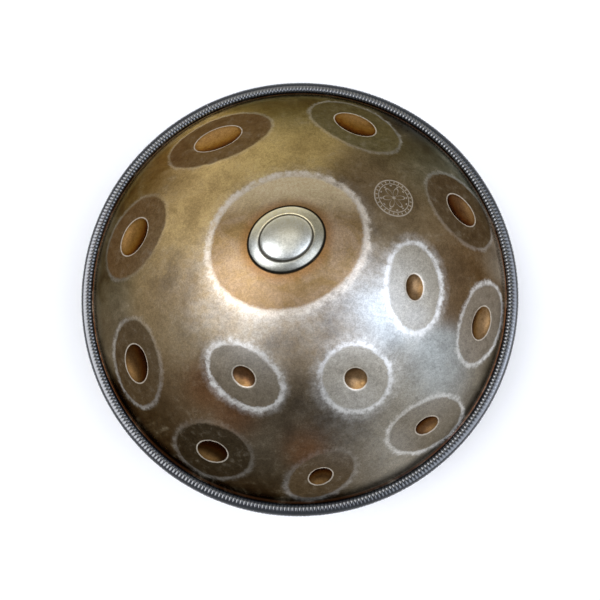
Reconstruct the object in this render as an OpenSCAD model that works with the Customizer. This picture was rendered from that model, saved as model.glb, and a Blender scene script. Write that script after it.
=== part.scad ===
// Handpan: two pressed steel shells glued flange to flange, with a ribbed edge trim.
// +Z is up. The origin is under the middle of the pan, on the surface it stands on.

/* [Pan] */
// Outside diameter of the pan, measured over the edge trim
pan_d = 560; // [540:1:580]
// Sheet thickness of both shells
sheet_t = 1; // [0.9:0.1:1.2]
// Thickness of the adhesive between the two flanges
bond_t = 0.6; // [0.4:0.1:1]

/* [Top shell] */
// Rise of the top dome above its flange
top_rise = 105; // [98:1:112]
// Depth of a tone field's dimple below the field
dimple_depth = 4.5; // [3:0.5:6]
// Share of the dome's curvature that is hammered out of a tone field
field_flatness = 0.6; // [0.3:0.1:0.9]

/* [Centre note] */
// Distance of the centre note from the middle of the pan
ding_offset = 38; // [30:1:45]
// Direction of the centre note from the middle of the pan, in degrees
ding_angle = 98; // [90:1:105]
// Half the length of the raised boss of the centre note
ding_half_length = 43; // [38:1:46]
// Rise of the boss above the dome
ding_rise = 5; // [3:0.5:7]
// Half the length of the raised crown on the boss
crown_half_length = 29.5; // [26:0.5:32]
// Rise of the crown above the boss
crown_rise = 2; // [1:0.5:3]
// Turn of the oval boss and crown, in degrees
ding_turn = -18; // [-40:1:0]

/* [Bottom shell] */
// Depth of the bottom dome below its flange, before the port is opened
bottom_rise = 118; // [110:1:122]
// Radius of the port's bore
port_r = 50; // [45:1:55]
// Length of the port's straight neck
neck_length = 22; // [15:1:30]
// Radius of the flare from the neck into the dome
flare_r = 12; // [8:1:16]
// Depth that the lowest line of the flare is dressed flat, so that the pan stands
land_depth = 0.15; // [0.1:0.05:0.2]

/* [Edge trim] */
// Width of the trim's flat faces, from its outside inwards
trim_width = 14; // [12:0.5:16]
// Full height of the trim
trim_height = 10; // [8:0.5:12]
// Wall thickness of the trim, outside the flange
trim_wall = 2.8; // [2.5:0.1:3]
// Radius of the trim's outer corners
trim_corner_r = 4; // [3:0.25:4.5]
// Where the two cut ends of the trim meet, in degrees
joint_angle = 116; // [0:1:359]
// Number of steel clips inside the trim
clip_count = 94; // [60:1:120]

/* [Hidden] */
$fn = 180;

pan_r = pan_d / 2;
// The domes meet their flanges just inside the trim.
dome_base_r = pan_r - trim_width - 1.5;
flange_r = pan_r - trim_wall - 0.8;
top_dome_r = (pow(dome_base_r, 2) + pow(top_rise, 2)) / (2 * top_rise);
bottom_dome_r = (pow(dome_base_r, 2) + pow(bottom_rise, 2)) / (2 * bottom_rise);

// The flare's circle runs into the bottom dome's circle and stands out of it by a hair, so
// that the two faces cross at one clean line.
flare_x = port_r + flare_r;
flare_proud = 0.05;
flare_z = flare_r - land_depth;
flare_reach = bottom_dome_r - flare_r + flare_proud;
bottom_centre_z = flare_z + sqrt(pow(flare_reach, 2) - pow(flare_x, 2));
neck_top_z = flare_z + neck_length;

// Heights of the bottom flange's and the top flange's faces on the bond line
bond_bottom_z = bottom_centre_z - bottom_dome_r + bottom_rise;
bond_top_z = bond_bottom_z + bond_t;
bond_mid_z = bond_bottom_z + bond_t / 2;
top_centre_z = bond_top_z + top_rise - top_dome_r;
stack_half = bond_t / 2 + sheet_t;

// Trim: clearance over the flanges, fins that grip them, and the clips in its walls
channel_gap = 0.4;
fin_clearance = 0.05;
fin_pitch = 3.2;
clip_t = 0.5;
clip_cover = 1.8;
clip_fill = 0.8;
// Opening between the trim's two cut ends, in degrees
joint_gap = 0.2;

// Outer notes, then inner notes: distance from the pan's axis, direction, half-length and
// width ratio of the dimple, half-length and width ratio of the field, turn.
outer_notes = [
    [207, 118, 32, 0.72, 69, 0.68, 17],
    [215, 69.5, 28.5, 0.76, 62, 0.7, 18],
    [224, 24, 24.5, 0.76, 55.5, 0.77, -30],
    [229, 348, 21.5, 0.76, 51, 0.68, 18],
    [229, 313, 16, 0.74, 50, 0.68, 30],
    [229, 278, 15.5, 0.82, 44.5, 0.7, -38],
    [221, 244.5, 20, 0.8, 48, 0.83, -32],
    [212, 207.5, 24, 0.82, 53, 0.74, 30],
    [205, 164, 26, 0.84, 57.5, 0.8, 30]
];
inner_notes = [
    [136, 355, 15, 0.74, 48.5, 0.66, -6],
    [132, 302, 13.5, 0.9, 38, 0.93, 64],
    [121.5, 245, 14, 0.77, 43.5, 0.69, 11]
];
notes = concat(outer_notes, inner_notes);

steel_colour = "#8c7b62";
underside_colour = "#7d7468";
adhesive_colour = "#3a3532";
trim_colour = "#39414b";
clip_colour = "#9aa0a6";

// ---- shared shapes ----

// Curvature of an arc that rises over a half-width, on top of a base curvature
function curvature(half_width, rise, base) = 2 * rise / pow(half_width, 2) + base;

// A lens with its crown at the origin and its long axis along X. It is a spindle: an arc
// turned about a line along X, so the two half-widths get their own true radii.
module lens(long_r, cross_r, grow) {
    translate([0, 0, -cross_r])
        rotate([0, 90, 0])
            rotate_extrude()
                intersection() {
                    translate([cross_r - long_r, 0])
                        circle(r = long_r + grow);
                    translate([0, -long_r])
                        square([cross_r + grow + 1, 2 * long_r]);
                }
}

// Stands its children on the top dome, +Z outwards and +X along the rim before the turn.
module on_dome(distance, direction, turn) {
    translate([0, 0, top_centre_z])
        rotate([0, 0, direction])
            rotate([0, asin(distance / top_dome_r), 0])
                translate([0, 0, top_dome_r])
                    rotate([0, 0, 90 - turn])
                        children();
}

// Depth of the middle of a tone field below the dome
function field_depth(half_width) = field_flatness * pow(half_width, 2) / (2 * top_dome_r);

// What hammering takes off the dome at one note: the field, then its dimple.
module note_cutter(note, grow) {
    half_length = note[4];
    ratio = note[5];
    depth = field_depth(half_length * ratio);
    long_r = top_dome_r / (1 - field_flatness * pow(ratio, 2));
    cross_r = top_dome_r / (1 - field_flatness);
    on_dome(note[0], note[1], note[6]) {
        difference() {
            translate([0, 0, -depth - 10])
                cylinder(h = 40, r = half_length + 4);
            translate([0, 0, -depth - cross_r])
                rotate([0, 90, 0])
                    rotate_extrude()
                        translate([cross_r - long_r, 0])
                            intersection() {
                                circle(r = long_r - grow);
                                translate([0, -half_length * 2])
                                    square([long_r, half_length * 4]);
                            }
        }
        dimple_curve_long = curvature(note[2], dimple_depth, -1 / long_r);
        dimple_curve_cross = curvature(note[2] * note[3], dimple_depth, -1 / cross_r);
        translate([0, 0, -depth - dimple_depth])
            mirror([0, 0, 1])
                lens(1 / dimple_curve_long, 1 / dimple_curve_cross, grow);
    }
}

// The raised boss of the centre note with its crown
module ding_boss(grow) {
    width_ratio = 0.86;
    base = 1 / top_dome_r;
    boss_long = curvature(ding_half_length, ding_rise, base);
    boss_cross = curvature(ding_half_length * width_ratio, ding_rise, base);
    crown_long = curvature(crown_half_length, crown_rise, boss_long);
    crown_cross = curvature(crown_half_length * width_ratio, crown_rise, boss_cross);
    on_dome(ding_offset, ding_angle, ding_turn) {
        translate([0, 0, ding_rise])
            lens(1 / boss_long, 1 / boss_cross, grow);
        translate([0, 0, ding_rise + crown_rise])
            lens(1 / crown_long, 1 / crown_cross, grow);
    }
}

// The solid under the top sheet's outside face, or under its inside face when grown by -t
module top_body(grow) {
    difference() {
        union() {
            translate([0, 0, bond_top_z])
                rotate_extrude()
                    intersection() {
                        translate([0, top_rise - top_dome_r])
                            circle(r = top_dome_r + grow);
                        square([pan_r, 2 * top_rise]);
                    }
            intersection() {
                ding_boss(grow);
                translate([0, 0, bond_top_z + top_rise / 2])
                    cylinder(h = top_rise, r = 2 * ding_half_length + ding_offset);
            }
        }
        for (note = notes)
            note_cutter(note, -grow);
    }
}

// Half section of the space inside the bottom sheet's outside face, or inside its inside
// face when grown by -t: the dome, opened by the flare and the bore.
module bottom_section(grow) {
    difference() {
        intersection() {
            translate([0, bottom_centre_z])
                circle(r = bottom_dome_r + grow);
            translate([0, -flare_r])
                square([pan_r, bond_bottom_z + flare_r]);
        }
        difference() {
            translate([0, -2 * flare_r])
                square([flare_x * bottom_dome_r / flare_reach, flare_z + 2 * flare_r]);
            translate([flare_x, flare_z])
                circle(r = flare_r + grow);
        }
        translate([0, -flare_r])
            square([port_r - grow, bond_bottom_z + 2 * flare_r]);
    }
}

// Section of a steel flange, from the dome's edge to the trim's channel
module flange_section() {
    translate([dome_base_r - 2, 0])
        square([flange_r - dome_base_r + 2, sheet_t]);
}

// Section of the trim's outside, centred on the bond line
module trim_outline() {
    half = trim_height / 2;
    translate([pan_r - trim_width, -half])
        square([trim_width - trim_corner_r, trim_height]);
    translate([pan_r - trim_width, -half + trim_corner_r])
        square([trim_width, trim_height - 2 * trim_corner_r]);
    for (side = [-1, 1])
        translate([pan_r - trim_corner_r, side * (half - trim_corner_r)])
            circle(r = trim_corner_r);
}

// Section of one U-shaped clip, half open towards the pan
module clip_section() {
    outer_half = trim_height / 2 - clip_cover;
    outer_x = pan_r - clip_cover;
    start_x = pan_r - trim_width + clip_cover;
    difference() {
        translate([start_x, -outer_half])
            square([outer_x - start_x, 2 * outer_half]);
        translate([start_x - 1, -outer_half + clip_t])
            square([outer_x - start_x + 1 - clip_t, 2 * (outer_half - clip_t)]);
    }
}

// Section of the trim's channel, with two fins on each side that grip the flanges
module channel_section() {
    half = stack_half + channel_gap;
    start_x = pan_r - trim_width;
    difference() {
        translate([start_x - 1, -half])
            square([trim_width + 1 - trim_wall, 2 * half]);
        for (side = [-1, 1], fin = [1, 2])
            translate([start_x + fin * fin_pitch, side * half])
                polygon([[-1.2, 0], [0, -side * (channel_gap - fin_clearance)], [0.6, 0]]);
    }
}

// ---- sub-parts ----

module top_shell() {
    color(steel_colour)
        union() {
            difference() {
                top_body(0);
                top_body(-sheet_t);
            }
            translate([0, 0, bond_top_z])
                rotate_extrude()
                    flange_section();
        }
}

module bottom_shell() {
    color(underside_colour)
        rotate_extrude()
            difference() {
                union() {
                    difference() {
                        bottom_section(0);
                        bottom_section(-sheet_t);
                        translate([0, neck_top_z])
                            square([flare_x, bond_bottom_z]);
                    }
                    translate([0, bond_bottom_z - sheet_t])
                        flange_section();
                }
                translate([0, -flare_r])
                    square([pan_r, flare_r]);
            }
}

module flange_adhesive() {
    color(adhesive_colour)
        translate([0, 0, bond_bottom_z])
            rotate_extrude()
                translate([dome_base_r - 1, 0])
                    square([flange_r - dome_base_r + 1, bond_t]);
}

module edge_trim() {
    color(trim_colour)
        translate([0, 0, bond_mid_z])
            rotate([0, 0, joint_angle + joint_gap / 2])
                rotate_extrude(angle = 360 - joint_gap)
                    difference() {
                        trim_outline();
                        channel_section();
                        clip_section();
                    }
}

module trim_clips() {
    step = 360 / clip_count;
    color(clip_colour)
        for (clip = [0 : clip_count - 1])
            translate([0, 0, bond_mid_z])
                rotate([0, 0, joint_angle + step * (clip + (1 - clip_fill) / 2)])
                    rotate_extrude(angle = step * clip_fill)
                        clip_section();
}

top_shell();
bottom_shell();
flange_adhesive();
edge_trim();
trim_clips();
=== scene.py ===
import math

import bmesh
import bpy
import numpy as np
from mathutils import Matrix, Vector


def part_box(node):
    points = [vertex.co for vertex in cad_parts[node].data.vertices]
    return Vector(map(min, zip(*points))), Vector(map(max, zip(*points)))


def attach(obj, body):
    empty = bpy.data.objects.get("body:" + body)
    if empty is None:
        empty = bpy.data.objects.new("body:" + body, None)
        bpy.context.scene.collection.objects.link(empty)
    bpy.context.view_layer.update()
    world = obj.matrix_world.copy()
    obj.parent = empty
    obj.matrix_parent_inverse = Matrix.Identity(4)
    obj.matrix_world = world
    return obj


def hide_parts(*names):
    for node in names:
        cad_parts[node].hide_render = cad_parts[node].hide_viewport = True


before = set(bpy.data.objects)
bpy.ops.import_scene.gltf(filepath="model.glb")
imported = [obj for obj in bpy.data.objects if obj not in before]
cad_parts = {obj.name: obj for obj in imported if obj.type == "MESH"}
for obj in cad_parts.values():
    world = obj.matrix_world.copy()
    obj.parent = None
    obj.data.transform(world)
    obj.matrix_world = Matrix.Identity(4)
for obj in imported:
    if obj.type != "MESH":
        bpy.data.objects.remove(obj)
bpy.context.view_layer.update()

# Lengths in this script are millimetres until a mesh is made.
metre = 1000.0
topLow, topHigh = [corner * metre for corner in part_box("top_shell")]
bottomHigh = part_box("bottom_shell")[1] * metre
trimLow, trimHigh = [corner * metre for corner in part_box("edge_trim")]
panRadius = trimHigh.x
flangeRadius = topHigh.x
bondZ = (trimLow.z + trimHigh.z) / 2
outOfReach = 60.0  # distances to an edge are measured up to this
print("frame loaded: pan radius", round(panRadius, 1), "bond line at", round(bondZ, 1))


def linearColour(hexCode):  # sRGB hex to the linear values that sockets hold
    channels = [int(hexCode[i:i + 2], 16) / 255 for i in (1, 3, 5)]
    return [c / 12.92 if c <= 0.04045 else ((c + 0.055) / 1.055) ** 2.4 for c in channels] + [1.0]


# Adds a node, sets or links its inputs, and gives back one of its outputs.
def addNode(tree, kind, inputs, out=0, **settings):
    node = tree.nodes.new(kind)
    for name, value in settings.items():
        setattr(node, name, value)
    for key, value in inputs.items():
        if isinstance(value, bpy.types.NodeSocket):
            tree.links.new(value, node.inputs[key])
        else:
            node.inputs[key].default_value = value
    return node.outputs[out] if len(node.outputs) else node


def newMaterial(name):
    material = bpy.data.materials.new(name)
    material.use_nodes = True
    return material, material.node_tree, material.node_tree.nodes["Principled BSDF"]


def newPiece(name, points, faces, material):
    mesh = bpy.data.meshes.new(name)
    mesh.from_pydata((np.asarray(points) / metre).tolist(), [], faces)
    mesh.materials.append(material)
    piece = bpy.data.objects.new(name, mesh)
    bpy.context.scene.collection.objects.link(piece)
    return piece


def smoothAround(piece, sharpAngle):  # smooth shading, with creases left sharp
    piece.data.update()
    piece.data.shade_smooth()
    piece.data.set_sharp_from_angle(angle=math.radians(sharpAngle))


# Runs a geometry node tree on a piece and keeps the result as the piece's own plain mesh.
def settleTree(piece, tree, inputs):
    modifier = piece.modifiers.new(tree.name, "NODES")
    modifier.node_group = tree
    for item in tree.interface.items_tree:
        if item.in_out == "INPUT" and item.name in inputs:
            modifier[item.identifier] = inputs[item.name]
    graph = bpy.context.evaluated_depsgraph_get()
    mesh = bpy.data.meshes.new_from_object(piece.evaluated_get(graph))
    piece.modifiers.clear()
    piece.data = mesh
    work = bmesh.new()
    work.from_mesh(mesh)
    bmesh.ops.holes_fill(work, edges=[edge for edge in work.edges if edge.is_boundary], sides=0)
    bmesh.ops.recalc_face_normals(work, faces=work.faces)
    work.to_mesh(mesh)
    work.free()


def newTree(name, inputs):
    tree = bpy.data.node_groups.new(name, "GeometryNodeTree")
    for label, kind in dict(Geometry="Geometry", **inputs).items():
        tree.interface.new_socket(label, in_out="INPUT", socket_type="NodeSocket" + kind)
    tree.interface.new_socket("Geometry", in_out="OUTPUT", socket_type="NodeSocketGeometry")
    return tree, addNode(tree, "NodeGroupInput", {}).node.outputs


def smoothStep(start, end, value):
    t = np.clip((value - start) / (end - start), 0, 1)
    return t * t * (3 - 2 * t)


def softMin(a, b, width):  # the lower of two heights, with the crease between them rounded
    h = np.clip(0.5 + 0.5 * (b - a) / width, 0, 1)
    return b + (a - b) * h - width * h * (1 - h)


# Top shell: one pressed and hammered sheet. Its rings of points run from the centre note's
# oval out to the round flange.
topSpec = dict(
    baseRadius=264.5, rise=105, sheet=1.0, fieldFlatness=0.6, cupDepth=4.5,
    lipRound=0.12, fieldRound=0.5, rimRound=2.5,
    segments=600, innerSegments=300, ringStep=2.6, innerStep=5.0,
    hammerDepth=0.16, hammerWidths=(26, 65), hammerWaves=30, seed=7,
)
domeRadius = (topSpec["baseRadius"] ** 2 + topSpec["rise"] ** 2) / (2 * topSpec["rise"])
domeCentreZ = topLow.z + topSpec["rise"] - domeRadius

# Centre note: a raised oval boss, a crown inside a fine groove, and the tone field around.
ding = dict(
    away=38, at=98, turn=-18, ratio=0.86, boss=43, bossRise=5, crown=29.5, crownRise=1.65,
    field=88, grooveDepth=0.8, grooveWidth=1.3,
)

# The heat tints of nitrided steel, and the coppery ones of the cups.
steelTints = dict(
    paleGold="#d8ba80", gold="#c2a86c", straw="#968464", tan="#a68f6c", paleTan="#b3a590",
    bronze="#80704e", olive="#6a6248", brown="#6e5941", walnut="#5c4e3c", umber="#4c3f2e",
    darkUmber="#3a3226", taupe="#7a705f", warmGrey="#8a8072", pewter="#a29b8c", slate="#70736a",
    silver="#c2cacc", rust="#704a2c", gunmetal="#45474a", soot="#33291e", drab="#655e4e",
    brightCopper="#ac8450", copper="#866438", paleCopper="#8c7050", darkCopper="#644830",
    burntCopper="#4c3620", blackCopper="#302010",
)

# away, at: distance and direction from the pan's axis. cup, field: half-length and width
# ratio. tone, cupTone: heat tint of the field and the cup. halo: how strongly and how wide,
# in millimetres, the sheet outside the field's edge is scuffed bright.
notes = [
    dict(away=207, at=118, turn=17, cup=(32, 0.72), field=(69, 0.68), halo=(0.2, 4),
         tone="brown", cupTone="brightCopper"),
    dict(away=215, at=69.5, turn=18, cup=(28.5, 0.76), field=(62, 0.7), halo=(0.25, 5),
         tone="olive", cupTone="copper"),
    dict(away=224, at=24, turn=-30, cup=(24.5, 0.76), field=(55.5, 0.77), halo=(0.25, 5),
         tone="walnut", cupTone="darkCopper"),
    dict(away=229, at=348, turn=18, cup=(21.5, 0.76), field=(51, 0.68), halo=(0.85, 6),
         tone="warmGrey", cupTone="paleCopper"),
    dict(away=229, at=313, turn=30, cup=(16, 0.74), field=(50, 0.68), halo=(0.75, 7),
         tone="taupe", cupTone="darkCopper"),
    dict(away=229, at=278, turn=-38, cup=(15.5, 0.82), field=(44.5, 0.7), halo=(0.2, 9),
         tone="walnut", cupTone="burntCopper"),
    dict(away=221, at=244.5, turn=-32, cup=(20, 0.8), field=(48, 0.83), halo=(0.14, 8),
         tone="darkUmber", cupTone="blackCopper"),
    dict(away=212, at=207.5, turn=30, cup=(24, 0.82), field=(53, 0.74), halo=(0.3, 6),
         tone="walnut", cupTone="burntCopper"),
    dict(away=205, at=164, turn=30, cup=(26, 0.84), field=(57.5, 0.8), halo=(0.13, 5),
         tone="brown", cupTone="copper"),
    dict(away=136, at=355, turn=-6, cup=(15, 0.74), field=(48.5, 0.66), halo=(1.0, 13),
         tone="pewter", cupTone="paleCopper"),
    dict(away=132, at=302, turn=64, cup=(13.5, 0.9), field=(38, 0.93), halo=(1.0, 15),
         tone="pewter", cupTone="paleCopper"),
    dict(away=121.5, at=245, turn=11, cup=(14, 0.77), field=(43.5, 0.69), halo=(1.0, 11),
         tone="taupe", cupTone="darkCopper"),
]

# Where each heat tint lies on the sheet: x, y, reach, tint. The silver zone at (95, -40), under the
# key light's highlight, is partly a painted highlight.
patinaZones = [
    (-95, 125, 65, "paleGold"), (-20, 135, 60, "gold"), (-125, 50, 60, "paleGold"),
    (-10, 225, 45, "olive"), (-170, 130, 40, "brown"), (-210, 60, 45, "drab"),
    (-240, -5, 40, "drab"), (-240, -55, 30, "taupe"), (-125, -5, 45, "brown"),
    (-110, -60, 50, "straw"), (95, 100, 50, "brown"), (140, 150, 55, "olive"),
    (190, 160, 45, "slate"), (115, 45, 50, "straw"), (175, 35, 50, "brown"),
    (205, 0, 40, "brown"), (95, -40, 30, "silver"), (85, 0, 25, "warmGrey"),
    (65, -60, 25, "warmGrey"), (45, -30, 40, "umber"), (10, -60, 45, "tan"),
    (-25, -60, 45, "paleTan"), (-125, -125, 45, "brown"), (-155, -155, 40, "darkUmber"),
    (-35, -170, 50, "taupe"), (-35, -220, 40, "darkUmber"), (-55, -250, 35, "soot"),
    (5, -260, 25, "umber"), (10, -155, 40, "umber"), (60, -180, 40, "umber"),
    (110, -170, 45, "pewter"), (130, -135, 45, "pewter"), (170, -105, 30, "silver"),
    (205, -120, 35, "taupe"), (-95, -120, 20, "rust"), (-60, -150, 20, "rust"),
    (15, -190, 20, "rust"), (165, 215, 30, "gunmetal"), (-210, 130, 25, "bronze"),
    (255, 30, 20, "warmGrey"),
]

# Where hands and cloth have rubbed the tint back to silver: x, y, reach, amount. The first zone, at
# (90, -30) under the key light's highlight, is partly a painted highlight.
rubbedAndHighlightZones = [
    (90, -30, 50, 1.0), (30, -45, 50, 0.7), (-30, -55, 45, 0.8), (-85, -45, 40, 0.6),
    (150, -110, 50, 0.5), (70, -150, 45, 0.45), (-115, 0, 40, 0.35), (110, -190, 35, 0.4),
    (134, -45, 20, 0.9),
]

# Etched ornament between the centre note and the rim: plain rings, ticks and petals.
emblem = dict(away=147, at=38.5, radius=24.5)


# Middle of a note on the dome, its long axis, its cross axis and the outward normal.
def noteAxes(away, at, turn):
    direction, around, tilt = math.radians(at), math.radians(turn), math.asin(away / domeRadius)
    outwards = np.array([math.cos(direction), math.sin(direction), 0])
    tangent = np.array([-math.sin(direction), math.cos(direction), 0])
    normal = outwards * math.sin(tilt) + np.array([0, 0, math.cos(tilt)])
    downhill = np.cross(tangent, normal)
    longAxis = tangent * math.cos(around) + downhill * math.sin(around)
    centre = normal * domeRadius + np.array([0, 0, domeCentreZ])
    return centre, longAxis, np.cross(normal, longAxis), normal


# How far inside an oval of half-lengths a and b a place is; negative outside it.
def insideOval(u, v, a, b):
    scaled = np.sqrt((u / a) ** 2 + (v / b) ** 2) + 1e-9
    slope = np.sqrt((u / a ** 2) ** 2 + (v / b ** 2) ** 2) / scaled + 1e-9
    return np.clip((1 - scaled) / slope, -outOfReach, outOfReach)


def fromNote(points, axes):
    offset = points - axes[0]
    return offset @ axes[1], offset @ axes[2], offset @ axes[3]


def bossHeight(u, v):
    boss, crown, ratio = ding["boss"], ding["crown"], ding["ratio"]
    q = np.sqrt((u / boss) ** 2 + (v / (boss * ratio)) ** 2)
    c = np.sqrt((u / crown) ** 2 + (v / (crown * ratio)) ** 2)
    height = ding["bossRise"] * np.sqrt(np.clip(1 - q ** 2.6, 0, 1))
    height += ding["crownRise"] * np.clip(1 - c ** 2.4, 0, 1) ** 0.8
    groove = np.exp(-(insideOval(u, v, crown, crown * ratio) / ding["grooveWidth"]) ** 2)
    return height - ding["grooveDepth"] * groove


# Shallow waves that the hammering leaves over the whole dome.
def hammerMarks(points):
    random = np.random.default_rng(topSpec["seed"])
    marks = np.zeros(len(points))
    for _ in range(topSpec["hammerWaves"]):
        width = random.uniform(*topSpec["hammerWidths"])
        heading, phase = random.uniform(0, 2 * math.pi, 2)
        along = points[:, 0] * math.cos(heading) + points[:, 1] * math.sin(heading)
        marks += np.cos(along * 2 * math.pi / width + phase)
    return marks * topSpec["hammerDepth"] / math.sqrt(topSpec["hammerWaves"])


# Moves points from the plain dome onto the hammered sheet, and measures each point's place
# against every edge that the finish needs.
def shapeDome(points):
    shaped = points.copy()
    count = len(points)
    measures = {key: np.full(count, -outOfReach) for key in ("fieldEdge", "cupEdge")}
    measures["cupSide"] = np.zeros(count)
    sums = {key: np.zeros(count) for key in ("weight", "haloStrength", "haloWidth")}
    tints = {key: np.zeros((count, 3)) for key in ("tone", "cupTone")}
    flat = topSpec["fieldFlatness"]
    for note in notes:
        axes = noteAxes(note["away"], note["at"], note["turn"])
        u, v, height = fromNote(points, axes)
        near = (np.abs(u) < 110) & (np.abs(v) < 110) & (height > -outOfReach)
        u, v, height = u[near], v[near], height[near]
        a, ratio = note["field"]
        cupA, cupRatio = note["cup"]
        depth = flat * (a * ratio) ** 2 / (2 * domeRadius)
        longRadius = domeRadius / (1 - flat * ratio ** 2)
        crossRadius = domeRadius / (1 - flat)
        field = -depth - u ** 2 / (2 * longRadius) - v ** 2 / (2 * crossRadius)
        cupFall = topSpec["cupDepth"] * ((u / cupA) ** 2 + (v / (cupA * cupRatio)) ** 2 - 1)
        sunk = softMin(height, field, topSpec["fieldRound"])
        sunk = softMin(sunk, np.where(cupFall < 8, field + cupFall, 50), topSpec["lipRound"])
        shaped[near] += np.outer(sunk - height, axes[3])
        inField = insideOval(u, v, a, a * ratio)
        inCup = insideOval(u, v, cupA, cupA * cupRatio)
        weight = np.exp(-(np.minimum(inField, 0) / 9) ** 2)
        sums["weight"][near] += weight
        # The scuffs are strongest on the side towards the rim.
        outwards = (points[near][:, :2] @ axes[0][:2] / np.hypot(*axes[0][:2]) - note["away"]) / a
        least = 0.3 + 0.5 * note["halo"][0]
        side = least + (1 - least) * smoothStep(-0.6, 0.6, outwards)
        sums["haloStrength"][near] += weight * note["halo"][0] * side
        sums["haloWidth"][near] += weight * note["halo"][1]
        for key in tints:
            tints[key][near] += np.outer(weight, linearColour(steelTints[note[key]])[:3])
        measures["fieldEdge"][near] = np.maximum(measures["fieldEdge"][near], inField)
        measures["cupEdge"][near] = np.maximum(measures["cupEdge"][near], inCup)
        # From -1 at the cup's side by the rim to 1 at its side by the pan's axis
        side = np.where(inCup > -6, -outwards * a / cupA, measures["cupSide"][near])
        measures["cupSide"][near] = side
    axes = noteAxes(ding["away"], ding["at"], ding["turn"])
    u, v, height = fromNote(points, axes)
    near = height > -outOfReach
    for key, part in dict(bossEdge="boss", crownEdge="crown", ringEdge="field").items():
        inside = insideOval(u, v, ding[part], ding[part] * ding["ratio"])
        measures[key] = np.where(near, inside, -outOfReach)
    shaped += np.outer(np.where(near, bossHeight(u, v), 0), axes[3])
    # The hammer marks die out at the boss and at the flange.
    radius = np.hypot(points[:, 0], points[:, 1])
    fade = smoothStep(0, -12, measures["bossEdge"]) * smoothStep(262, 245, radius)
    fade *= smoothStep(2, -3, measures["cupEdge"])
    shaped[:, 2] += hammerMarks(points) * fade
    weight = np.maximum(sums["weight"], 1e-6)
    measures["haloStrength"] = sums["haloStrength"] / weight
    measures["haloWidth"] = np.maximum(sums["haloWidth"] / weight, 3)
    measures["toneColour"] = tints["tone"] / weight[:, None]
    measures["cupColour"] = tints["cupTone"] / weight[:, None]
    return shaped, measures


def patinaAt(points):
    total, weights = np.zeros((len(points), 3)), np.zeros(len(points))
    for x, y, reach, tint in patinaZones:
        away = np.hypot(points[:, 0] - x, points[:, 1] - y)
        weight = np.exp(-(away / reach) ** 2) * (60 / reach) + 1e-5
        total += np.outer(weight, linearColour(steelTints[tint])[:3])
        weights += weight
    colours = total / weights[:, None]
    # The steep edge is painted lighter on the far side and darker on the near side, a painted
    # highlight and a painted shade; a red-brown line runs by the flange, and the flange in the gap
    # under the trim is painted nearly black as its shadow.
    radius = np.hypot(points[:, 0], points[:, 1])
    south = smoothStep(40, -140, points[:, 1])
    colours *= 1 + ((0.9 - 1.6 * south) * smoothStep(248, 260, radius))[:, None]
    for start, end, tint in ((261.8, 262.8, "#5e381e"), (264.2, 265.0, "#0c0a08")):
        band = smoothStep(start, end, radius)[:, None]
        colours = colours * (1 - band) + np.array(linearColour(tint)[:3]) * band
    return colours


def rubbedAndHighlightAt(points):
    rubbed = np.zeros(len(points))
    for x, y, reach, amount in rubbedAndHighlightZones:
        away = np.hypot(points[:, 0] - x, points[:, 1] - y)
        rubbed = np.maximum(rubbed, amount * np.exp(-(away / reach) ** 2))
    return rubbed


def emblemPlaceAt(points):  # in emblem radii from the ornament's middle
    u, v, height = fromNote(points, noteAxes(emblem["away"], emblem["at"], 0))
    place = np.column_stack([u, v, np.zeros(len(u))]) / emblem["radius"]
    place[(height < -30) | (points[:, 2] < bondZ)] = (9, 9, 0)
    return place


# Rings of plan points from the centre note's crown out to the dome's base. With fine set,
# they crowd at the groove around the crown and at the foot of the boss.
def sheetRings(step, segments, fine):
    angles = np.arange(segments) * 2 * math.pi / segments
    circle = np.stack([np.cos(angles), np.sin(angles)], 1)
    centre, longAxis, crossAxis, _ = noteAxes(ding["away"], ding["at"], ding["turn"])
    long2, cross2 = longAxis[:2], crossAxis[:2]
    boss, crown = ding["boss"], ding["crown"]
    along = (circle @ long2)[:, None] * boss * long2
    across = (circle @ cross2)[:, None] * boss * ding["ratio"] * cross2
    reach = list(np.arange(step, boss + 1, step))
    if fine:
        reach = list(np.arange(step, crown - 2.4, step))
        reach += [crown + gap for gap in (-2.2, -1.4, -0.8, -0.3, 0.2, 0.7, 1.3, 2.0)]
        reach += list(np.arange(crown + 3, boss - 3, 1.4))
        reach += [boss + gap for gap in (-2.6, -1.8, -1.2, -0.7, -0.35, -0.12, 0.02, 0.3, 0.9)]
    rings = [centre[:2] + size / boss * (along + across) for size in reach]
    edge, base = rings[-1], topSpec["baseRadius"]
    steps = int(round((base - boss) / step))
    rings += [edge * (1 - w) + circle * base * w for w in np.linspace(0, 1, steps + 1)[1:]]
    return rings, circle, centre[:2]


def ringFaces(ringCount, segments, start, outwards):
    first = np.arange(segments)
    sides = list(zip(first.tolist(), ((first + 1) % segments).tolist()))
    faces = [[start, start + 1 + a, start + 1 + b] for a, b in sides]
    for k in range(ringCount - 1):
        near = start + 1 + k * segments
        far = near + segments
        faces += [[near + a, far + a, far + b, near + b] for a, b in sides]
    return faces if outwards else [face[::-1] for face in faces]


def domeFrom(middle, rings):
    plan = np.concatenate([middle[None]] + rings)
    radius = np.hypot(plan[:, 0], plan[:, 1])
    height = domeCentreZ + np.sqrt(domeRadius ** 2 - radius ** 2)
    return np.column_stack([plan, height]), radius


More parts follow.
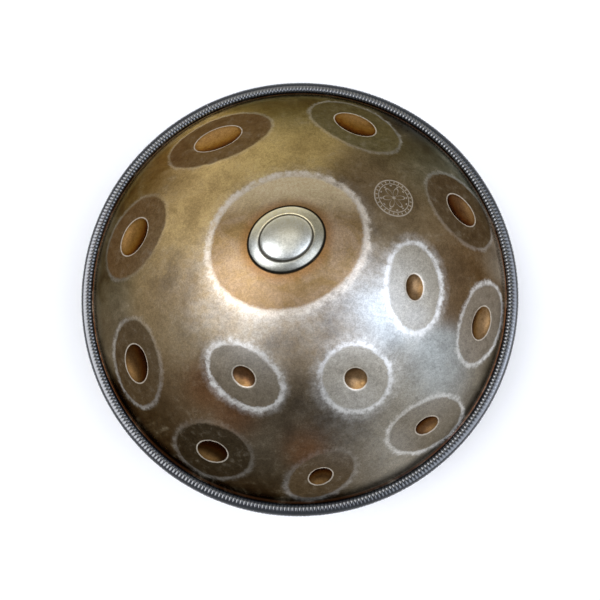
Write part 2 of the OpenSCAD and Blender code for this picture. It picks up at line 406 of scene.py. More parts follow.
def buildTopShell(material):
    segments, innerSegments = topSpec["segments"], topSpec["innerSegments"]
    rings, circle, middle = sheetRings(topSpec["ringStep"], segments, fine=True)
    dome, radius = domeFrom(middle, rings)
    shaped, measures = shapeDome(dome)
    # The dome turns into the flange over a small radius.
    flangeTop = topLow.z + topSpec["sheet"]
    turned = -softMin(-shaped[:, 2], np.full(len(shaped), -flangeTop), topSpec["rimRound"])
    shaped[:, 2] = np.where(radius > 250, turned, shaped[:, 2])
    flange = [(265.3, 0.35), (266.4, 0.1), (268, 0), (272, 0), (flangeRadius, 0)]
    outer = [shaped]
    outer += [np.column_stack([circle * r, np.full(segments, flangeTop + lift)]) for r, lift in flange]
    outer = np.concatenate(outer)
    ringCount = len(rings) + len(flange)

    # Inside face: the same sheet, one thickness lower, with fewer points.
    innerRings, innerCircle, _ = sheetRings(topSpec["innerStep"], innerSegments, fine=False)
    innerDome, _ = domeFrom(middle, innerRings)
    inward = innerDome - np.array([0, 0, domeCentreZ])
    inward /= np.linalg.norm(inward, axis=1)[:, None]
    innerShaped = shapeDome(innerDome)[0] - inward * topSpec["sheet"]
    innerShaped[:, 2] = np.maximum(innerShaped[:, 2], topLow.z)
    lastRing = np.column_stack([innerCircle * flangeRadius, np.full(innerSegments, topLow.z)])
    points = np.concatenate([outer, innerShaped, lastRing])
    innerCount = len(innerRings) + 1

    faces = ringFaces(ringCount, segments, 0, outwards=True)
    faces += ringFaces(innerCount, innerSegments, len(outer), outwards=False)
    # The flange's rim joins the fine outside face to the coarser inside face.
    ratio = segments // innerSegments
    fine = 1 + (ringCount - 1) * segments
    coarse = len(outer) + 1 + (innerCount - 1) * innerSegments
    for i in range(innerSegments):
        edge = [fine + (i * ratio + k) % segments for k in range(ratio, -1, -1)]
        faces.append(edge + [coarse + i, coarse + (i + 1) % innerSegments])
    piece = newPiece("topShell", points, faces, material)
    smoothAround(piece, 60)

    # What the finish reads at each point.
    for key, values in measures.items():
        colour = values.ndim == 2
        size = (len(points) - len(values),) + values.shape[1:]
        filler = np.full(size, 0.0 if colour else -outOfReach)
        measures[key] = np.concatenate([values, filler])
    measures.update(patina=patinaAt(points), rubbed=rubbedAndHighlightAt(points),
                    emblemPlace=emblemPlaceAt(points))
    for key, values in measures.items():
        kind = "FLOAT" if values.ndim == 1 else "FLOAT_COLOR"
        if kind == "FLOAT_COLOR":
            values = np.column_stack([values, np.ones(len(values))])
        layer = piece.data.attributes.new(key, kind, "POINT")
        channel = "value" if kind == "FLOAT" else "color"
        layer.data.foreach_set(channel, values.astype(np.float32).ravel())
    print("top shell:", len(points), "points")
    return piece


# Nitrided mild steel: hammered, heat-tinted bronze, scoured by hand, then rubbed back. The eye gets a
# broad soft sheen, fine speckle, pale scuffs round the fields and coppery cups, with painted shade and
# painted light on the cups, the boss, the ring field and the rim.
def nitridedTopSteel():
    material, tree, shader = newMaterial("nitrided steel, bronze heat tint, hand-rubbed")
    place = addNode(tree, "ShaderNodeTexCoord", {}, out="Object")
    read = {}
    for name in ("fieldEdge", "cupEdge", "bossEdge", "crownEdge", "ringEdge",
                 "haloStrength", "haloWidth", "rubbed", "cupSide"):
        read[name] = addNode(tree, "ShaderNodeAttribute", {}, out="Fac", attribute_name=name)
    for name in ("toneColour", "cupColour", "patina"):
        read[name] = addNode(tree, "ShaderNodeAttribute", {}, out="Color", attribute_name=name)
    axes = addNode(tree, "ShaderNodeSeparateXYZ", {0: place}).node.outputs
    level = addNode(tree, "ShaderNodeCombineXYZ", {0: axes[0], 1: axes[1]})
    read["easting"], read["northing"] = axes[0], axes[1]
    read["fromAxis"] = addNode(tree, "ShaderNodeVectorMath", {0: level}, out="Value",
                               operation="LENGTH")

    # Width in millimetres, detail, roughness and bend of each pattern. Real scouring marks
    # are about 0.1 mm; the speckle is drawn at 1.5 mm, as coarse as it needs to show.
    patterns = dict(
        clouds=(85, 5, 0.6, 0.6), patches=(30, 5, 0.65, 0.8), mottle=(9, 4, 0.65, 0.3),
        scuffs=(3.5, 3, 0.6, 0.0), speckle=(1.5, 2, 0.6, 0.0), dents=(24, 1, 0.4, 0.0),
    )
    for name, (width, detail, rough, bend) in patterns.items():
        read[name] = addNode(tree, "ShaderNodeTexNoise", {
            "Vector": place, "Scale": metre / width, "Detail": detail, "Roughness": rough,
            "Distortion": bend})

    # Ragged edges: each measured distance is shifted by the patterns, in millimetres.
    for name, source in dict(fieldRagged="fieldEdge", ringRagged="ringEdge").items():
        value = read[source]
        for pattern, reach in (("patches", 6), ("mottle", 6), ("scuffs", 5)):
            value = addNode(tree, "ShaderNodeMath", {0: read[pattern], 1: reach, 2: value},
                            operation="MULTIPLY_ADD")
            value = addNode(tree, "ShaderNodeMath", {0: value, 1: reach / 2}, operation="SUBTRACT")
        read[name] = value
    read["haloPlace"] = addNode(tree, "ShaderNodeMath", {0: read["fieldRagged"], 1: read["haloWidth"]},
                                operation="DIVIDE")
    read["emblem"] = etchedOrnament(tree)

    # Masks: what is read, the values it starts and ends at, and its level at each.
    masks = dict(
        inField=("fieldRagged", -1.5, 2, 0, 0.92), outField=("fieldRagged", 2, -1, 0, 1),
        haloReach=("haloPlace", -1.3, -0.3, 0, 1), haloCore=("fieldRagged", -8, -2, 0.3, 1),
        inRing=("ringRagged", -2, 3, 0, 0.85), outRing=("ringRagged", 4, -1, 0, 1),
        ringReach=("ringRagged", -21, -1, 0, 1), ringCore=("ringRagged", -9, -3, 0, 1),
        # The cup's wall just inside its lip is painted darker: painted shade.
        cup=("cupEdge", -0.3, 0.4, 0, 1), cupWallPaintedShade=("cupEdge", 5, 0.3, 0, 0.6),
        lipOut=("cupEdge", -1.5, -0.5, 0, 1), lipIn=("cupEdge", 0.7, 0.1, 0, 1),
        boss=("bossEdge", -0.3, 0.5, 0, 1), warmRing=("bossEdge", -15, 0, 0, 0.75),
        # Painted shade in the crease at the boss's foot and in the groove round the crown.
        creaseShadeOut=("bossEdge", -1.8, -0.6, 0, 1), creaseShadeIn=("bossEdge", 2.2, 0.9, 0, 0.95),
        grooveShadeOut=("crownEdge", -1.9, -0.6, 0, 1), grooveShadeIn=("crownEdge", 1.7, 0.5, 0, 0.9),
        # Painted light on the north of the boss and of the ring field, painted shade on the ring
        # field's south.
        bossNorthPaintedLight=("northing", 0.028, 0.058, 0, 0.9), ringNorthPaintedLight=("northing", 0.055, 0.105, 0, 0.8),
        ringPale=("northing", -0.03, 0.06, 0.4, 1), ringSouthPaintedShade=("northing", 0.01, -0.03, 0, 0.5),
        # Painted shade on the east and south of the boss round the crown.
        bossEastPaintedShade=("easting", 0.0, 0.032, 0, 0.6), bossSouthPaintedShade=("northing", 0.022, 0.0, 0, 0.5),
        bossAround=("crownEdge", 0, -1.5, 0, 1), crown=("crownEdge", 0, 1, 0, 1),
        cloudDark=("clouds", 0.55, 0.35, 0, 0.75), patchDark=("patches", 0.55, 0.3, 0, 0.7),
        # Painted shade on each cup's side towards the pan's axis, painted light on its side towards
        # the rim.
        cupPaintedShade=("cupSide", -0.35, 0.8, 0, 0.75), cupPaintedLight=("cupSide", -0.15, -0.9, 0, 0.65),
        patchPale=("patches", 0.48, 0.72, 0, 1), mottlePale=("mottle", 0.4, 0.7, 0.15, 1),
        mottleDark=("mottle", 0.52, 0.3, 0, 0.6), rubbedPatch=("mottle", 0.3, 0.65, 0.35, 0.9),
        fieldPale=("mottle", 0.5, 0.75, 0, 0.45), speckled=("speckle", 0.28, 0.72, 0, 1),
        scuffed=("scuffs", 0.28, 0.72, 0.1, 0.9), haloBreak=("mottle", 0.3, 0.6, 0.4, 1),
        ringWorn=("rubbed", 0, 0.6, 0.4, 1), rim=("fromAxis", 0.255, 0.261, 0, 1),
        silverMix=("patches", 0.35, 0.65, 0, 1),
    )
    for name, (source, start, end, levelA, levelB) in masks.items():
        read[name] = addNode(tree, "ShaderNodeMapRange", {
            "Value": read[source], "From Min": start, "From Max": end, "To Min": levelA,
            "To Max": levelB}, interpolation_type="SMOOTHSTEP")

    # Layers over the patina, from the bottom up: the masks and numbers that multiply to its
    # strength, its colour, and how it mixes.
    layers = [
        (("cloudDark", 0.35), "#7a6450", "MULTIPLY"), (("patchDark", 0.4), "#6e5b49", "MULTIPLY"),
        (("patchPale", "mottlePale", 0.3), "#b0a48e", "MIX"),
        # The rubbed silver is partly a painted highlight under the key light.
        (("rubbed", "rubbedPatch", 0.5), "#b9bcbd", "MIX"), (("inField",), "toneColour", "MIX"),
        (("inField", "mottleDark", 0.5), "#6b5c4a", "MULTIPLY"),
        (("inField", "fieldPale", 0.5), "#a8a092", "MIX"),
        (("inField", "rubbed", 0.6), "#cfcfcd", "MIX"),
        (("haloReach", "outField", "haloCore", "haloStrength", "haloBreak"), "#ecebe8", "MIX"),
        (("inRing",), "#8c7148", "MIX"), (("inRing", "silverMix", 0.7), "#a8917a", "MIX"),
        # Painted light on the ring field's north, painted shade on its south.
        (("inRing", "mottleDark", 0.3), "#7a5f3e", "MIX"), (("inRing", "ringNorthPaintedLight"), "#f2deb6", "MIX"),
        (("inRing", "ringSouthPaintedShade"), "#6e5636", "MIX"), (("warmRing",), "#8a6237", "MIX"),
        (("ringReach", "outRing", "ringWorn", "haloBreak", 0.45), "#cfc9c0", "MIX"),
        (("ringCore", "outRing", "haloBreak", "ringPale"), "#e2d6c6", "MIX"),
        (("cup",), "cupColour", "MIX"), (("cup", "mottleDark", 0.6), "#8a5c34", "MULTIPLY"),
        # Painted light and painted shade across each cup, and painted shade down the wall inside its
        # lip.
        (("cup", "cupPaintedLight"), "#c99c62", "MIX"), (("cup", "cupPaintedShade"), "#2c1a0c", "MIX"),
        (("cup", "cupWallPaintedShade", 0.6), "#20140a", "MIX"), (("lipOut", "lipIn", 0.6), "#e2d9ca", "MIX"),
        (("boss",), "#b2b4ae", "MIX"), (("boss", "silverMix", 0.4), "#a39c84", "MIX"),
        # Painted warm light on the boss's north, painted shade on its east and south.
        (("boss", "bossNorthPaintedLight"), "#f4e8c0", "MIX"), (("crown", 0.35), "#c2c5c2", "MIX"),
        (("boss", "bossAround", "bossEastPaintedShade"), "#7a7666", "MIX"),
        (("boss", "bossAround", "bossSouthPaintedShade"), "#8c897c", "MIX"),
        # Painted shade in the crease at the boss's foot and in the groove round the crown.
        (("creaseShadeOut", "creaseShadeIn"), "#0d0b08", "MIX"), (("grooveShadeOut", "grooveShadeIn"), "#2b241a", "MIX"),
        (("emblem",), "#cfc4b4", "MIX"), ((0.16,), "speckled", "OVERLAY"),
        ((0.14,), "scuffed", "OVERLAY"),
    ]
    colour = read["patina"]
    for strengths, tint, mode in layers:
        strength = 1.0
        for part in strengths:
            value = read.get(part, part)
            strength = addNode(tree, "ShaderNodeMath", {0: strength, 1: value}, operation="MULTIPLY")
        top = read[tint] if tint in read else linearColour(tint)
        colour = addNode(tree, "ShaderNodeMix", {0: strength, 6: colour, 7: top}, out=2,
                         data_type="RGBA", blend_type=mode)

    roughness = 0.33
    for name, amount in dict(patches=0.12, inField=0.08, boss=-0.08, cup=-0.06, rim=-0.14).items():
        roughness = addNode(tree, "ShaderNodeMath", {0: read[name], 1: amount, 2: roughness},
                            operation="MULTIPLY_ADD")
    # Heights in millimetres of the dents and of the scouring.
    normal = addNode(tree, "ShaderNodeBump", {"Height": read["dents"], "Strength": 0.5,
                                              "Distance": 0.6 / metre})
    normal = addNode(tree, "ShaderNodeBump", {"Height": read["speckle"], "Strength": 0.5,
                                              "Distance": 0.03 / metre, "Normal": normal})
    for name, value in {"Base Color": colour, "Roughness": roughness, "Normal": normal}.items():
        tree.links.new(value, shader.inputs[name])
    shader.inputs["Metallic"].default_value = 1.0
    shader.inputs["Specular Tint"].default_value = linearColour("#7a6444")  # the oxide film, edge on
    return material


# Mask of the etched ornament: two rings, ticks between them, a ring of dots, six petals.
def etchedOrnament(tree):
    place = addNode(tree, "ShaderNodeAttribute", {}, out="Color", attribute_name="emblemPlace")
    axes = addNode(tree, "ShaderNodeSeparateXYZ", {0: place}).node.outputs
    angle = addNode(tree, "ShaderNodeMath", {0: axes[1], 1: axes[0]}, operation="ARCTAN2")
    radius = addNode(tree, "ShaderNodeVectorMath", {0: place}, out="Value", operation="LENGTH")
    # Each line: its radius and half-width in emblem radii, how often it repeats around, how
    # much of each turn it fills, and how far the radius swells with the repeats.
    lines = [
        (0.96, 0.03, 0, 0, 0), (0.76, 0.02, 0, 0, 0), (0.86, 0.05, 24, 0.75, 0),
        (0.66, 0.03, 12, 0.6, 0), (0.0, 0.03, 3, 0, 0.56), (0.0, 0.08, 0, 0, 0),
    ]
    drawn = 0.0
    for size, half, repeats, gap, swell in lines:
        turn = addNode(tree, "ShaderNodeMath", {0: angle, 1: float(repeats)}, operation="MULTIPLY")
        wave = addNode(tree, "ShaderNodeMath", {0: turn}, operation="COSINE")
        bulge = addNode(tree, "ShaderNodeMath", {0: wave}, operation="ABSOLUTE")
        bulge = addNode(tree, "ShaderNodeMath", {0: bulge, 1: -swell, 2: radius},
                        operation="MULTIPLY_ADD")
        off = addNode(tree, "ShaderNodeMath", {0: bulge, 1: size}, operation="SUBTRACT")
        off = addNode(tree, "ShaderNodeMath", {0: off}, operation="ABSOLUTE")
        line = addNode(tree, "ShaderNodeMapRange", {"Value": off, "From Min": half * 1.6,
                                                    "From Max": half * 0.4},
                       interpolation_type="SMOOTHSTEP")
        shown = addNode(tree, "ShaderNodeMath", {0: wave, 1: gap}, operation="GREATER_THAN")
        if gap:
            line = addNode(tree, "ShaderNodeMath", {0: line, 1: shown}, operation="MULTIPLY")
        drawn = addNode(tree, "ShaderNodeMath", {0: drawn, 1: line}, operation="MAXIMUM")
    return addNode(tree, "ShaderNodeMath", {0: drawn, 1: 0.65}, operation="MULTIPLY")


topShell = buildTopShell(nitridedTopSteel())
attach(topShell, "root")
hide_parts("top_shell")

# Bottom shell: a pressed sheet whose port is drawn in to a short neck. Its half section is
# turned about the pan's axis.
bottomSpec = dict(baseRadius=264.5, rise=118, sheet=1.0, port=50, flare=12, neck=22, segments=288)


def arc(centreX, centreZ, radius, start, end, steps):
    angles = np.radians(np.linspace(start, end, steps))
    return [(centreX + radius * math.cos(a), centreZ + radius * math.sin(a)) for a in angles]


def bottomSection():
    base, rise, sheet = bottomSpec["baseRadius"], bottomSpec["rise"], bottomSpec["sheet"]
    port, flare = bottomSpec["port"], bottomSpec["flare"]
    roundness = (base ** 2 + rise ** 2) / (2 * rise)
    domeZ = bottomHigh.z - rise + roundness
    flareX = port + flare
    flareZ = domeZ - math.sqrt((roundness - flare) ** 2 - flareX ** 2)
    meet = math.degrees(math.atan2(flareZ - domeZ, flareX))
    neckTop = flareZ + bottomSpec["neck"]
    faces = {}
    for side, grow in dict(outside=0, inside=-sheet).items():
        flangeZ = bottomHigh.z - sheet - grow
        rim = math.degrees(math.asin((flangeZ - domeZ) / (roundness + grow)))
        path = [(flangeRadius, flangeZ), (base + 4, flangeZ), (base + 1.2, flangeZ - 0.15)]
        path += arc(0, domeZ, roundness + grow, rim - 0.35, meet, 70)
        path += arc(flareX, flareZ, flare + grow, meet, -180, 22)[1:]
        faces[side] = [(x, max(z, -grow)) for x, z in path]
    lip = [(port, neckTop - 0.3), (port + 0.3, neckTop)]
    lip += [(port + sheet - 0.3, neckTop), (port + sheet, neckTop - 0.3)]
    section = faces["outside"] + lip + faces["inside"][::-1]
    return [(x, 0, z) for x, z in section + section[:1]]


# Turns the incoming row of points about Z: a grid of rows by steps, each point moved to its
# row point and turned by its step.
def turnedSectionTree():
    tree, given = newTree("turnedSection", dict(
        Rows="Int", Steps="Int", Weld="Float", Material="Material"))
    columns = addNode(tree, "ShaderNodeMath", {0: given["Steps"], 1: 1.0}, operation="ADD")
    grid = addNode(tree, "GeometryNodeMeshGrid", {"Vertices X": columns, "Vertices Y": given["Rows"]})
    index = addNode(tree, "GeometryNodeInputIndex", {})
    row = addNode(tree, "ShaderNodeMath", {0: index, 1: given["Rows"]}, operation="MODULO")
    column = addNode(tree, "ShaderNodeMath", {0: index, 1: given["Rows"]}, operation="DIVIDE")
    column = addNode(tree, "ShaderNodeMath", {0: column}, operation="FLOOR")
    share = addNode(tree, "ShaderNodeMath", {0: column, 1: given["Steps"]}, operation="DIVIDE")
    angle = addNode(tree, "ShaderNodeMath", {0: share, 1: 2 * math.pi}, operation="MULTIPLY")
    position = addNode(tree, "GeometryNodeInputPosition", {})
    source = addNode(tree, "GeometryNodeSampleIndex", {
        "Geometry": given["Geometry"], "Value": position, "Index": row}, data_type="FLOAT_VECTOR")
    turned = addNode(tree, "ShaderNodeVectorRotate", {"Vector": source, "Angle": angle},
                     rotation_type="Z_AXIS")
    moved = addNode(tree, "GeometryNodeSetPosition", {"Geometry": grid, "Position": turned})
    weld = addNode(tree, "GeometryNodeMergeByDistance", {"Geometry": moved, "Distance": given["Weld"]})
    real = addNode(tree, "GeometryNodeRealizeInstances", {0: weld})
    painted = addNode(tree, "GeometryNodeSetMaterial", {
        "Geometry": real, "Material": given["Material"]})
    addNode(tree, "NodeGroupOutput", {0: painted})
    return tree


# The same nitrided steel, scoured in rings on a turntable: fine rings in the sheen, copper
# on the port's flare and a dark band by the flange.
def nitridedBottomSteel():
    material, tree, shader = newMaterial("nitrided steel, bronze heat tint, ring-brushed")
    place = addNode(tree, "ShaderNodeTexCoord", {}, out="Object")
    axes = addNode(tree, "ShaderNodeSeparateXYZ", {0: place}).node.outputs
    level = addNode(tree, "ShaderNodeCombineXYZ", {0: axes[0], 1: axes[1]})
    radius = addNode(tree, "ShaderNodeVectorMath", {0: level}, out="Value", operation="LENGTH")
    ringPlace = addNode(tree, "ShaderNodeCombineXYZ", {0: radius, 1: axes[2]})
    read = dict(radius=radius)
    # Place, width in millimetres, detail and bend. Brush rings are about 0.2 mm; drawn at 1.5.
    patterns = dict(
        rings=(ringPlace, 1.5, 3, 0.0), clouds=(place, 80, 5, 0.5), patches=(place, 18, 4, 0.3))
    for name, (at, width, detail, bend) in patterns.items():
        read[name] = addNode(tree, "ShaderNodeTexNoise", {
            "Vector": at, "Scale": metre / width, "Detail": detail, "Roughness": 0.65,
            "Distortion": bend})
    # What is read, where it starts and ends, its last level, then the layer's colour and mix.
    layers = [
        ("clouds", 0.3, 0.7, 1.0, "#6a5a48", "MIX"),
        ("patches", 0.35, 0.75, 0.5, "#a39a8a", "MIX"),
        ("radius", 0.078, 0.06, 1.0, "#9a7048", "MIX"),
        ("radius", 0.235, 0.262, 0.75, "#3a2a1a", "MIX"),
        ("rings", 0.25, 0.75, 0.4, "#efe6d6", "OVERLAY"),
    ]
    colour = linearColour("#8d7650")
    for source, start, end, most, tint, mode in layers:
        mask = addNode(tree, "ShaderNodeMapRange", {
            "Value": read[source], "From Min": start, "From Max": end, "To Max": most},
            interpolation_type="SMOOTHSTEP")
        colour = addNode(tree, "ShaderNodeMix", {0: mask, 6: colour, 7: linearColour(tint)}, out=2,
                         data_type="RGBA", blend_type=mode)
    roughness = addNode(tree, "ShaderNodeMapRange", {"Value": read["patches"], "To Min": 0.3,
                                                     "To Max": 0.45})
    normal = addNode(tree, "ShaderNodeBump", {"Height": read["rings"], "Strength": 0.3,
                                              "Distance": 0.1 / metre})
    for name, value in {"Base Color": colour, "Roughness": roughness, "Normal": normal}.items():
        tree.links.new(value, shader.inputs[name])
    shader.inputs["Metallic"].default_value = 1.0
    return material


section = bottomSection()
bottomSteel = nitridedBottomSteel()
bottomShell = newPiece("bottomShell", section, [], bottomSteel)
settleTree(bottomShell, turnedSectionTree(), {
    "Rows": len(section), "Steps": bottomSpec["segments"], "Weld": 0.01 / metre,
    "Material": bottomSteel})
smoothAround(bottomShell, 50)
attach(bottomShell, "root")
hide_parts("bottom_shell")
print("bottom shell:", len(bottomShell.data.polygons), "faces")

# Edge trim: one rib is modelled, and a row of them makes the cut length of trim.
trimSpec = dict(ribs=376, jointAt=116, jointGap=0.06, groove=0.55, sectionMiddle=(7.0, 0.0))
# Outside of the upper half, from the channel's mouth over the top to the bond line: how far
# in from the pan's edge, height over the bond line, and the share of the groove's depth.
trimOutside = [
    (14.0, 1.9, 0.4), (13.8, 2.9, 1.0), (12.8, 3.8, 1.0), (10.8, 4.6, 1.0), (8.6, 4.95, 0.8),
    (6.4, 5.0, 0.3), (4.4, 4.9, 0.12), (2.2, 4.4, 0.2), (0.7, 2.9, 0.4), (0.0, 1.0, 0.5),
    (0.0, 0.0, 0.5),
]
trimChannel = [(13.9, -1.4), (2.8, -1.4), (2.8, 1.4), (13.9, 1.4)]


def buildRib(material):
    angle = math.radians(360 - trimSpec["jointGap"]) / trimSpec["ribs"]
    outline = [(inset, height, share) for inset, height, share in trimOutside]
    outline += [(inset, -height, share) for inset, height, share in reversed(trimOutside[:-1])]
    outline += [(inset, height, 0.0) for inset, height in trimChannel]
    # Share of the rib's width and of the groove's depth: a flat crest between two grooves.
    slices = [(0.0, 1.0), (0.26, 0.1), (0.74, 0.1), (1.0, 1.0)]
    points, crests = [], []
    for part, depth in slices:
        for inset, height, share in outline:
            inward = np.array(trimSpec["sectionMiddle"]) - np.array([inset, height])
            inward *= trimSpec["groove"] * share * depth / np.linalg.norm(inward)
            r = panRadius - inset - inward[0]
            turn = angle * part
            points.append((r * math.cos(turn), r * math.sin(turn), bondZ + height + inward[1]))
            crests.append(1 - depth * min(1, share * 1.3))
    count = len(outline)
    faces = []
    for k in range(len(slices) - 1):
        for i in range(count):
            j = (i + 1) % count
            faces.append([k * count + i, (k + 1) * count + i, (k + 1) * count + j, k * count + j])
    rib = newPiece("edgeTrim", points, faces, material)
    rib.data.attributes.new("crest", "FLOAT", "POINT").data.foreach_set("value", crests)
    return rib, angle


# Sets copies of the incoming rib side by side about Z and welds them.
def ribRowTree():
    tree, given = newTree("ribRow", {
        "Ribs": "Int", "Rib Angle": "Float", "Start Angle": "Float", "Weld": "Float",
        "Material": "Material"})
    row = addNode(tree, "GeometryNodeMeshLine", {"Count": given["Ribs"], "Offset": (0, 0, 0)})
    index = addNode(tree, "GeometryNodeInputIndex", {})
    angle = addNode(tree, "ShaderNodeMath", {0: index, 1: given["Rib Angle"], 2: given["Start Angle"]},
                    operation="MULTIPLY_ADD")
    spin = addNode(tree, "ShaderNodeCombineXYZ", {"Z": angle})
    turn = addNode(tree, "FunctionNodeEulerToRotation", {0: spin})
    copies = addNode(tree, "GeometryNodeInstanceOnPoints", {
        "Points": row, "Instance": given["Geometry"], "Rotation": turn})
    real = addNode(tree, "GeometryNodeRealizeInstances", {0: copies})
    weld = addNode(tree, "GeometryNodeMergeByDistance", {"Geometry": real, "Distance": given["Weld"]})
    painted = addNode(tree, "GeometryNodeSetMaterial", {
        "Geometry": weld, "Material": given["Material"]})
    addNode(tree, "NodeGroupOutput", {0: painted})
    return tree


# Moulded vinyl, slate grey: dressed crests that catch the light, with the grooves between them painted
# dark as shade.
def mouldedVinyl():
    material, tree, shader = newMaterial("moulded vinyl, satin slate")
    place = addNode(tree, "ShaderNodeTexCoord", {}, out="Object")
    crest = addNode(tree, "ShaderNodeAttribute", {}, out="Fac", attribute_name="crest")
    wear = addNode(tree, "ShaderNodeTexNoise", {"Vector": place, "Scale": metre / 30, "Detail": 4.0})
    pores = addNode(tree, "ShaderNodeTexNoise", {"Vector": place, "Scale": metre / 1.2, "Detail": 2.0})
    body = addNode(tree, "ShaderNodeMix", {0: wear, 6: linearColour("#12161b"),
                                           7: linearColour("#1f262d")}, out=2, data_type="RGBA")
    # The grooves between the ribs are painted nearly black: painted shade.
    lit = addNode(tree, "ShaderNodeMapRange", {"Value": crest, "From Min": 0.1, "From Max": 0.8})
    colour = addNode(tree, "ShaderNodeMix", {0: lit, 6: linearColour("#0b0e12"), 7: body}, out=2,
                     data_type="RGBA")
    roughness = addNode(tree, "ShaderNodeMapRange", {"Value": wear, "To Min": 0.22, "To Max": 0.34})
    normal = addNode(tree, "ShaderNodeBump", {"Height": pores, "Strength": 0.3,
                                              "Distance": 0.1 / metre})
    shine = addNode(tree, "ShaderNodeMapRange", {"Value": crest, "From Min": 0.2, "From Max": 0.8,
                                                 "To Min": 0.35})
    for name, value in {"Base Color": colour, "Roughness": roughness, "Normal": normal,
                        "Coat Weight": shine}.items():
        tree.links.new(value, shader.inputs[name])
    # A silicone dressing over the vinyl gives nearly all of its gloss, on the crests.
    for name, value in {"IOR": 1.55, "Specular IOR Level": 0.15, "Coat IOR": 1.9,
                        "Coat Roughness": 0.1}.items():
        shader.inputs[name].default_value = value
    return material


vinyl = mouldedVinyl()
edgeTrim, ribAngle = buildRib(vinyl)
startAngle = math.radians(trimSpec["jointAt"] + trimSpec["jointGap"] / 2)
settleTree(edgeTrim, ribRowTree(), {
    "Ribs": trimSpec["ribs"], "Rib Angle": ribAngle, "Start Angle": startAngle, "Weld": 0.05 / metre,
    "Material": vinyl})
smoothAround(edgeTrim, 40)
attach(edgeTrim, "root")
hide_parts("edge_trim")
print("edge trim:", len(edgeTrim.data.polygons), "faces")


# Cured adhesive, extruded: dull, nearly black, with a slightly uneven skin.
def curedAdhesive():
    material, tree, shader = newMaterial("cured adhesive, extruded")
    place = addNode(tree, "ShaderNodeTexCoord", {}, out="Object")
    skin = addNode(tree, "ShaderNodeTexNoise", {"Vector": place, "Scale": metre / 3, "Detail": 3.0})
    colour = addNode(tree, "ShaderNodeMix", {0: skin, 6: linearColour("#2c2825"),
                                             7: linearColour("#4a4440")}, out=2, data_type="RGBA")
    roughness = addNode(tree, "ShaderNodeMapRange", {"Value": skin, "To Min": 0.5, "To Max": 0.7})
    normal = addNode(tree, "ShaderNodeBump", {"Height": skin, "Strength": 0.4,
                                              "Distance": 0.2 / metre})
    for name, value in {"Base Color": colour, "Roughness": roughness, "Normal": normal}.items():
        tree.links.new(value, shader.inputs[name])
    return material


# Rolled spring steel, zinc plated: a dull silver with cloudy spangle.
def platedClipSteel():
    material, tree, shader = newMaterial("spring steel, zinc plated")
    place = addNode(tree, "ShaderNodeTexCoord", {}, out="Object")
    spangle = addNode(tree, "ShaderNodeTexNoise", {"Vector": place, "Scale": metre / 4, "Detail": 3.0})
    colour = addNode(tree, "ShaderNodeMix", {0: spangle, 6: linearColour("#8e949a"),
                                             7: linearColour("#c2c7cb")}, out=2, data_type="RGBA")
    roughness = addNode(tree, "ShaderNodeMapRange", {"Value": spangle, "To Min": 0.3, "To Max": 0.5})
    for name, value in {"Base Color": colour, "Roughness": roughness}.items():
        tree.links.new(value, shader.inputs[name])
    shader.inputs["Metallic"].default_value = 1.0
    return material


for nodeName, material in dict(flange_adhesive=curedAdhesive(), trim_clips=platedClipSteel()).items():
    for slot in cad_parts[nodeName].material_slots:
        slot.material = material

# Floor, room and lamps. Plain display of the light, with no film curve.
bpy.context.scene.view_settings.view_transform = "Standard"
floorMaterial, floorTree, floorShader = newMaterial("plain white paint")
floorShader.inputs["Base Color"].default_value = linearColour("#ffffff")
floorShader.inputs["Roughness"].default_value = 0.9
halfFloor = 6 * metre
floorCorners = [(x * halfFloor, y * halfFloor, 0) for x, y in ((-1, -1), (1, -1), (1, 1), (-1, 1))]
floor = newPiece("floor", floorCorners, [(0, 1, 2, 3)], floorMaterial)

# The room is dim overhead and bright at eye level, with soft windows: towards, the cosines
# at which each starts and is full, its strength and its colour.
room = dict(zenith=0.22, horizon=0.9, colour="#f8f9fa")
windows = [
    ((-0.46, 0.04, 0.89), 0.93, 0.99, 5.5, "#f6f8ff"),
    ((0.5, -0.08, 0.86), 0.88, 0.985, 3.2, "#e6eeff"),
    ((-0.05, 0.3, 0.95), 0.965, 0.99, 1.5, "#fffaf0"),
]
world = bpy.data.worlds.new("studio")
bpy.context.scene.world = world
world.use_nodes = True
sky = world.node_tree
direction = addNode(sky, "ShaderNodeTexCoord", {}, out="Generated")
height = addNode(sky, "ShaderNodeSeparateXYZ", {0: direction}, out=2)
level = addNode(sky, "ShaderNodeMapRange", {
    "Value": height, "From Min": 0.0, "From Max": 0.95, "To Min": room["horizon"],
    "To Max": room["zenith"]}, interpolation_type="SMOOTHSTEP")
light = addNode(sky, "ShaderNodeVectorMath", {0: linearColour(room["colour"])[:3], "Scale": level},
                operation="SCALE")
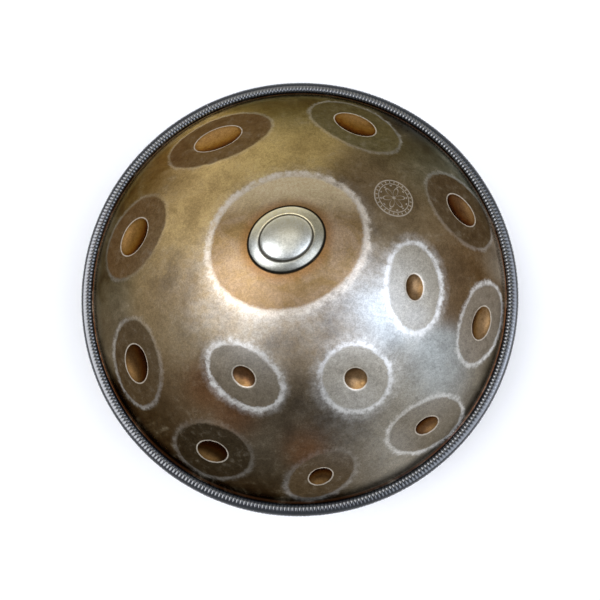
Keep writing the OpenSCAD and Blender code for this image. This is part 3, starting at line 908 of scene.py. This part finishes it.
for towards, edge, full, strength, tint in windows:
    facing = addNode(sky, "ShaderNodeVectorMath", {0: direction, 1: Vector(towards).normalized()},
                     out="Value", operation="DOT_PRODUCT")
    share = addNode(sky, "ShaderNodeMapRange", {
        "Value": facing, "From Min": edge, "From Max": full, "To Max": strength},
        interpolation_type="SMOOTHSTEP")
    glow = addNode(sky, "ShaderNodeVectorMath", {0: linearColour(tint)[:3], "Scale": share},
                   operation="SCALE")
    light = addNode(sky, "ShaderNodeVectorMath", {0: light, 1: glow}, operation="ADD")
sky.links.new(light, sky.nodes["Background"].inputs["Color"])

# The one lamp: where it stands from the pan, distance and width in metres, watts.
lamp = dict(name="keyWindow", towards=(0.55, -0.08, 0.83), away=2.2, size=0.35, watts=1.5,
            tint="#dfeaff")
panMiddle = Vector((0, 0, bondZ / metre))
lampData = bpy.data.lights.new(lamp["name"], "AREA")
lampData.shape = "DISK"
lampData.size = lamp["size"]
lampData.energy = lamp["watts"]
lampData.color = linearColour(lamp["tint"])[:3]
lampHolder = bpy.data.objects.new(lamp["name"], lampData)
bpy.context.scene.collection.objects.link(lampHolder)
lampHolder.location = panMiddle + Vector(lamp["towards"]).normalized() * lamp["away"]
lampHolder.rotation_euler = (panMiddle - lampHolder.location).to_track_quat("-Z", "Y").to_euler()

# Camera: above the pan and a little in front, millimetres from the bond line's middle.
view = dict(place=(30.7, -89.6, 592.8), aim=(5.5, -16.2, 0), roll=0.3, lens=28.03, sensor=36.0)
cameraData = bpy.data.cameras.new("camera")
cameraData.lens = view["lens"]
cameraData.sensor_width = view["sensor"]
cameraData.clip_start = 0.02
camera = bpy.data.objects.new("camera", cameraData)
bpy.context.scene.collection.objects.link(camera)
eye = panMiddle + Vector(view["place"]) / metre
back = (Vector(view["place"]) - Vector(view["aim"])).normalized()
right = Vector((0, 1, 0)).cross(back).normalized()
facing = Matrix((right, back.cross(right), back)).transposed().to_4x4()
roll = Matrix.Rotation(math.radians(view["roll"]), 4, "Z")
camera.matrix_world = Matrix.Translation(eye) @ facing @ roll
bpy.context.scene.camera = camera
print("floor, light and camera are set")
